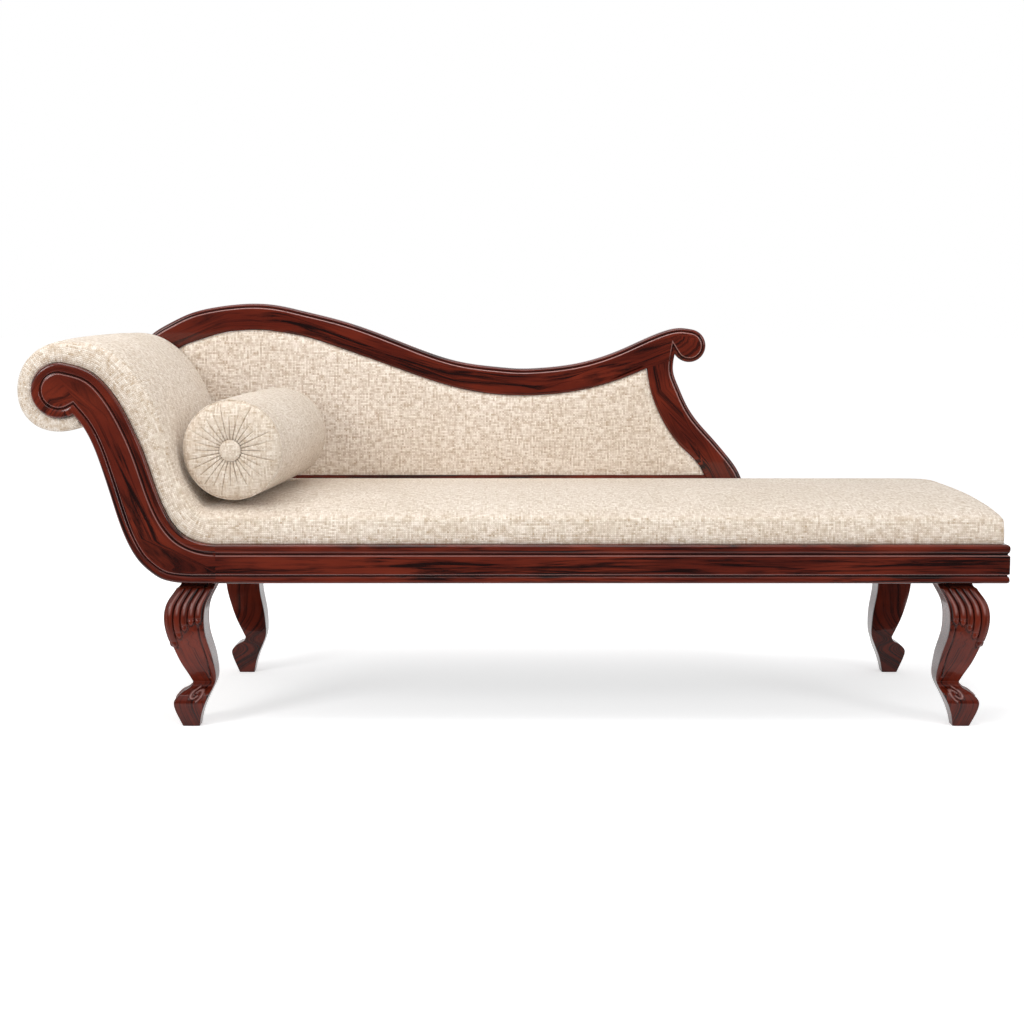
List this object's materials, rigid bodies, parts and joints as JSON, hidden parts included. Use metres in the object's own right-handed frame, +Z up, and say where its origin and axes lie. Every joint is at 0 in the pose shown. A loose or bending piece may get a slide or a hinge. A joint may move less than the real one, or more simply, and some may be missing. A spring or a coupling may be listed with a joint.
{
  "type": "fainting couch",
  "caption": "Long upholstered fainting couch with a scrolled headrest, a low sloping back along one side, carved cabriole legs and a loose bolster.",
  "frame": {"origin": "on the floor, at the centre of the couch's footprint box", "axes": "+X along the couch from the scrolled head end to the foot end, +Y from the open front to the back, +Z up"},
  "size_m": [1.9101, 0.658, 0.817],
  "materials": {
    "show_wood": "dark red mahogany, high gloss lacquer",
    "frame_wood": "plain sawn hardwood, unfinished",
    "linen": "oatmeal slub weave",
    "foam": "open cell upholstery foam, stands in for foam's density",
    "jute": "jute webbing and hessian",
    "black_cloth": "thin black bottoming cloth",
    "steel": "zinc plated",
    "plywood": "birch plywood"
  },
  "bodies": {
    "couch": {"front_scroll_moulding": "show_wood", "front_rail_moulding": "show_wood", "end_rail_moulding": "show_wood", "front_scroll_side": "frame_wood", "rear_scroll_side": "show_wood", "front_seat_rail": "frame_wood", "rear_seat_rail": "show_wood", "end_seat_rail": "frame_wood", "rail_dowels": "frame_wood", "head_seat_rail": "frame_wood", "head_tie_rail": "frame_wood", "roll_core": "frame_wood", "seat_bearers": "frame_wood", "head_slats": "frame_wood", "leg_front_left": "show_wood", "leg_front_right": "show_wood", "leg_rear_left": "show_wood", "leg_rear_right": "show_wood", "leg_bolts": "steel", "leg_nuts": "steel", "corner_blocks": "frame_wood", "seat_webbing_cross": "jute", "seat_webbing_long": "jute", "hessian": "jute", "couch_cover": "linen", "headrest_foam": "foam", "seat_foam": "foam", "head_outer_cover": "linen", "dust_cover": "black_cloth", "crest_rail_head": "show_wood", "crest_rail_scroll": "show_wood", "back_stile_right": "show_wood", "back_stile_head": "show_wood", "back_bottom_rail": "show_wood", "crest_dowels": "frame_wood", "back_bolts": "steel", "back_board": "plywood", "back_cover": "linen", "back_foam": "foam", "back_outer_cover": "linen"},
    "bolster": {"bolster_cover": "linen", "bolster_end_front": "linen", "bolster_end_rear": "linen", "bolster_fill": "foam", "bolster_twine": "jute", "bolster_buttons": "linen"}
  },
  "joints": [
    {"name": "bolster_lift", "type": "slide", "parent": "couch", "child": "bolster", "axis": [0, 0, 1], "range_m": [0, 0.5]}
  ]
}
